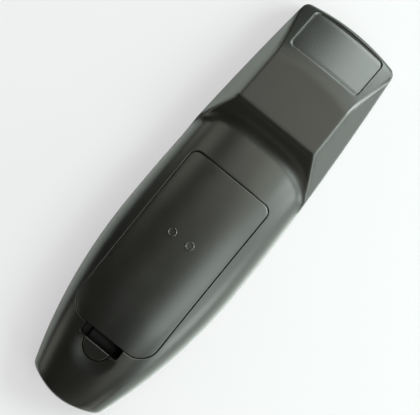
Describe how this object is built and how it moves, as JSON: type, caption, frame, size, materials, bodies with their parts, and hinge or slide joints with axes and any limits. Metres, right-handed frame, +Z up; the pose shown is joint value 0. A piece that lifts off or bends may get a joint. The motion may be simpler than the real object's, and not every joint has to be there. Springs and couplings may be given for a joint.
{
  "type": "universal remote control",
  "caption": "Hand-held universal remote control lying on its keys, with a barrel-shaped back, a raised faceted head, a latched battery cover and a sprung keypad.",
  "frame": {"origin": "bottom centre of the bounding box, in the plane of the rim that the remote rests on", "axes": "+X along the body to the infrared head, +Z up out of the back, +Y across to complete a right-handed frame"},
  "size_m": [0.186, 0.0568, 0.03],
  "materials": {
    "case_plastic": "fine-grained satin moulding",
    "window_plastic": "deep red, polished",
    "mat_rubber": "matt",
    "key_rubber": "matt with printed symbols",
    "power_key_rubber": "matt with a printed symbol",
    "board_laminate": "solder mask over glass laminate",
    "led_resin": "clear tinted resin",
    "status_resin": "clear tinted resin",
    "black_resin": "moulded resin",
    "resonator_coat": "dipped coating",
    "capacitor_sleeve": "shrunk sleeve",
    "cell_jacket": "plain wrapped jacket",
    "contact_steel": "plated spring steel",
    "screw_steel": "plated"
  },
  "bodies": {
    "housing": {"front_shell": "case_plastic", "rear_shell": "case_plastic", "ir_window": "window_plastic", "keypad_mat": "mat_rubber", "circuit_board": "board_laminate", "ir_led": "led_resin", "status_led": "status_resin", "controller_chip": "black_resin", "resonator": "resonator_coat", "reservoir_capacitor": "capacitor_sleeve", "drive_transistor": "black_resin", "battery_left": "cell_jacket", "battery_right": "cell_jacket", "positive_contact": "contact_steel", "negative_contact": "contact_steel", "bridge_contact": "contact_steel", "case_screw": "screw_steel"},
    "battery_cover": {"battery_cover": "case_plastic"},
    "cover_latch": {"cover_latch": "case_plastic"},
    "key_power": {"key_power": "power_key_rubber"},
    "key_setup": {"key_setup": "key_rubber"},
    "key_device_1": {"key_device_1": "key_rubber"},
    "key_device_2": {"key_device_2": "key_rubber"},
    "key_device_3": {"key_device_3": "key_rubber"},
    "key_device_4": {"key_device_4": "key_rubber"},
    "key_rewind": {"key_rewind": "key_rubber"},
    "key_play": {"key_play": "key_rubber"},
    "key_forward": {"key_forward": "key_rubber"},
    "key_record": {"key_record": "key_rubber"},
    "key_stop": {"key_stop": "key_rubber"},
    "key_pause": {"key_pause": "key_rubber"},
    "key_menu": {"key_menu": "key_rubber"},
    "key_guide": {"key_guide": "key_rubber"},
    "key_ok": {"key_ok": "key_rubber"},
    "key_up": {"key_up": "key_rubber"},
    "key_left": {"key_left": "key_rubber"},
    "key_down": {"key_down": "key_rubber"},
    "key_right": {"key_right": "key_rubber"},
    "key_exit": {"key_exit": "key_rubber"},
    "key_info": {"key_info": "key_rubber"},
    "key_volume_up": {"key_volume_up": "key_rubber"},
    "key_mute": {"key_mute": "key_rubber"},
    "key_channel_up": {"key_channel_up": "key_rubber"},
    "key_volume_down": {"key_volume_down": "key_rubber"},
    "key_recall": {"key_recall": "key_rubber"},
    "key_channel_down": {"key_channel_down": "key_rubber"},
    "key_digit_1": {"key_digit_1": "key_rubber"},
    "key_digit_2": {"key_digit_2": "key_rubber"},
    "key_digit_3": {"key_digit_3": "key_rubber"},
    "key_digit_4": {"key_digit_4": "key_rubber"},
    "key_digit_5": {"key_digit_5": "key_rubber"},
    "key_digit_6": {"key_digit_6": "key_rubber"},
    "key_digit_7": {"key_digit_7": "key_rubber"},
    "key_digit_8": {"key_digit_8": "key_rubber"},
    "key_digit_9": {"key_digit_9": "key_rubber"},
    "key_digit_dash": {"key_digit_dash": "key_rubber"},
    "key_digit_0": {"key_digit_0": "key_rubber"},
    "key_digit_enter": {"key_digit_enter": "key_rubber"}
  },
  "joints": [
    {"name": "cover_tilt", "type": "hinge", "parent": "housing", "child": "battery_cover", "pos_m": [0.01775, 0, 0.02685], "axis": [0, 1, 0], "range_deg": [0, 40]},
    {"name": "latch_flex", "type": "hinge", "parent": "battery_cover", "child": "cover_latch", "pos_m": [-0.06764, 0, 0.015], "axis": [0, 1, 0], "range_deg": [0, 12], "stiffness_Nm_per_rad": 0.25},
    {"name": "power_press", "type": "slide", "parent": "housing", "child": "key_power", "axis": [0, 0, 1], "range_m": [0, 0.0007], "stiffness_N_per_m": 1200},
    {"name": "setup_press", "type": "slide", "parent": "housing", "child": "key_setup", "axis": [0, 0, 1], "range_m": [0, 0.0007], "stiffness_N_per_m": 1200},
    {"name": "device_1_press", "type": "slide", "parent": "housing", "child": "key_device_1", "axis": [0, 0, 1], "range_m": [0, 0.0007], "stiffness_N_per_m": 1200},
    {"name": "device_2_press", "type": "slide", "parent": "housing", "child": "key_device_2", "axis": [0, 0, 1], "range_m": [0, 0.0007], "stiffness_N_per_m": 1200},
    {"name": "device_3_press", "type": "slide", "parent": "housing", "child": "key_device_3", "axis": [0, 0, 1], "range_m": [0, 0.0007], "stiffness_N_per_m": 1200},
    {"name": "device_4_press", "type": "slide", "parent": "housing", "child": "key_device_4", "axis": [0, 0, 1], "range_m": [0, 0.0007], "stiffness_N_per_m": 1200},
    {"name": "rewind_press", "type": "slide", "parent": "housing", "child": "key_rewind", "axis": [0, 0, 1], "range_m": [0, 0.0007], "stiffness_N_per_m": 1200},
    {"name": "play_press", "type": "slide", "parent": "housing", "child": "key_play", "axis": [0, 0, 1], "range_m": [0, 0.0007], "stiffness_N_per_m": 1200},
    {"name": "forward_press", "type": "slide", "parent": "housing", "child": "key_forward", "axis": [0, 0, 1], "range_m": [0, 0.0007], "stiffness_N_per_m": 1200},
    {"name": "record_press", "type": "slide", "parent": "housing", "child": "key_record", "axis": [0, 0, 1], "range_m": [0, 0.0007], "stiffness_N_per_m": 1200},
    {"name": "stop_press", "type": "slide", "parent": "housing", "child": "key_stop", "axis": [0, 0, 1], "range_m": [0, 0.0007], "stiffness_N_per_m": 1200},
    {"name": "pause_press", "type": "slide", "parent": "housing", "child": "key_pause", "axis": [0, 0, 1], "range_m": [0, 0.0007], "stiffness_N_per_m": 1200},
    {"name": "menu_press", "type": "slide", "parent": "housing", "child": "key_menu", "axis": [0, 0, 1], "range_m": [0, 0.0007], "stiffness_N_per_m": 1200},
    {"name": "guide_press", "type": "slide", "parent": "housing", "child": "key_guide", "axis": [0, 0, 1], "range_m": [0, 0.0007], "stiffness_N_per_m": 1200},
    {"name": "ok_press", "type": "slide", "parent": "housing", "child": "key_ok", "axis": [0, 0, 1], "range_m": [0, 0.0007], "stiffness_N_per_m": 1200},
    {"name": "up_press", "type": "slide", "parent": "housing", "child": "key_up", "axis": [0, 0, 1], "range_m": [0, 0.0007], "stiffness_N_per_m": 1200},
    {"name": "left_press", "type": "slide", "parent": "housing", "child": "key_left", "axis": [0, 0, 1], "range_m": [0, 0.0007], "stiffness_N_per_m": 1200},
    {"name": "down_press", "type": "slide", "parent": "housing", "child": "key_down", "axis": [0, 0, 1], "range_m": [0, 0.0007], "stiffness_N_per_m": 1200},
    {"name": "right_press", "type": "slide", "parent": "housing", "child": "key_right", "axis": [0, 0, 1], "range_m": [0, 0.0007], "stiffness_N_per_m": 1200},
    {"name": "exit_press", "type": "slide", "parent": "housing", "child": "key_exit", "axis": [0, 0, 1], "range_m": [0, 0.0007], "stiffness_N_per_m": 1200},
    {"name": "info_press", "type": "slide", "parent": "housing", "child": "key_info", "axis": [0, 0, 1], "range_m": [0, 0.0007], "stiffness_N_per_m": 1200},
    {"name": "volume_up_press", "type": "slide", "parent": "housing", "child": "key_volume_up", "axis": [0, 0, 1], "range_m": [0, 0.0007], "stiffness_N_per_m": 1200},
    {"name": "mute_press", "type": "slide", "parent": "housing", "child": "key_mute", "axis": [0, 0, 1], "range_m": [0, 0.0007], "stiffness_N_per_m": 1200},
    {"name": "channel_up_press", "type": "slide", "parent": "housing", "child": "key_channel_up", "axis": [0, 0, 1], "range_m": [0, 0.0007], "stiffness_N_per_m": 1200},
    {"name": "volume_down_press", "type": "slide", "parent": "housing", "child": "key_volume_down", "axis": [0, 0, 1], "range_m": [0, 0.0007], "stiffness_N_per_m": 1200},
    {"name": "recall_press", "type": "slide", "parent": "housing", "child": "key_recall", "axis": [0, 0, 1], "range_m": [0, 0.0007], "stiffness_N_per_m": 1200},
    {"name": "channel_down_press", "type": "slide", "parent": "housing", "child": "key_channel_down", "axis": [0, 0, 1], "range_m": [0, 0.0007], "stiffness_N_per_m": 1200},
    {"name": "digit_1_press", "type": "slide", "parent": "housing", "child": "key_digit_1", "axis": [0, 0, 1], "range_m": [0, 0.0007], "stiffness_N_per_m": 1200},
    {"name": "digit_2_press", "type": "slide", "parent": "housing", "child": "key_digit_2", "axis": [0, 0, 1], "range_m": [0, 0.0007], "stiffness_N_per_m": 1200},
    {"name": "digit_3_press", "type": "slide", "parent": "housing", "child": "key_digit_3", "axis": [0, 0, 1], "range_m": [0, 0.0007], "stiffness_N_per_m": 1200},
    {"name": "digit_4_press", "type": "slide", "parent": "housing", "child": "key_digit_4", "axis": [0, 0, 1], "range_m": [0, 0.0007], "stiffness_N_per_m": 1200},
    {"name": "digit_5_press", "type": "slide", "parent": "housing", "child": "key_digit_5", "axis": [0, 0, 1], "range_m": [0, 0.0007], "stiffness_N_per_m": 1200},
    {"name": "digit_6_press", "type": "slide", "parent": "housing", "child": "key_digit_6", "axis": [0, 0, 1], "range_m": [0, 0.0007], "stiffness_N_per_m": 1200},
    {"name": "digit_7_press", "type": "slide", "parent": "housing", "child": "key_digit_7", "axis": [0, 0, 1], "range_m": [0, 0.0007], "stiffness_N_per_m": 1200},
    {"name": "digit_8_press", "type": "slide", "parent": "housing", "child": "key_digit_8", "axis": [0, 0, 1], "range_m": [0, 0.0007], "stiffness_N_per_m": 1200},
    {"name": "digit_9_press", "type": "slide", "parent": "housing", "child": "key_digit_9", "axis": [0, 0, 1], "range_m": [0, 0.0007], "stiffness_N_per_m": 1200},
    {"name": "digit_dash_press", "type": "slide", "parent": "housing", "child": "key_digit_dash", "axis": [0, 0, 1], "range_m": [0, 0.0007], "stiffness_N_per_m": 1200},
    {"name": "digit_0_press", "type": "slide", "parent": "housing", "child": "key_digit_0", "axis": [0, 0, 1], "range_m": [0, 0.0007], "stiffness_N_per_m": 1200},
    {"name": "digit_enter_press", "type": "slide", "parent": "housing", "child": "key_digit_enter", "axis": [0, 0, 1], "range_m": [0, 0.0007], "stiffness_N_per_m": 1200}
  ]
}
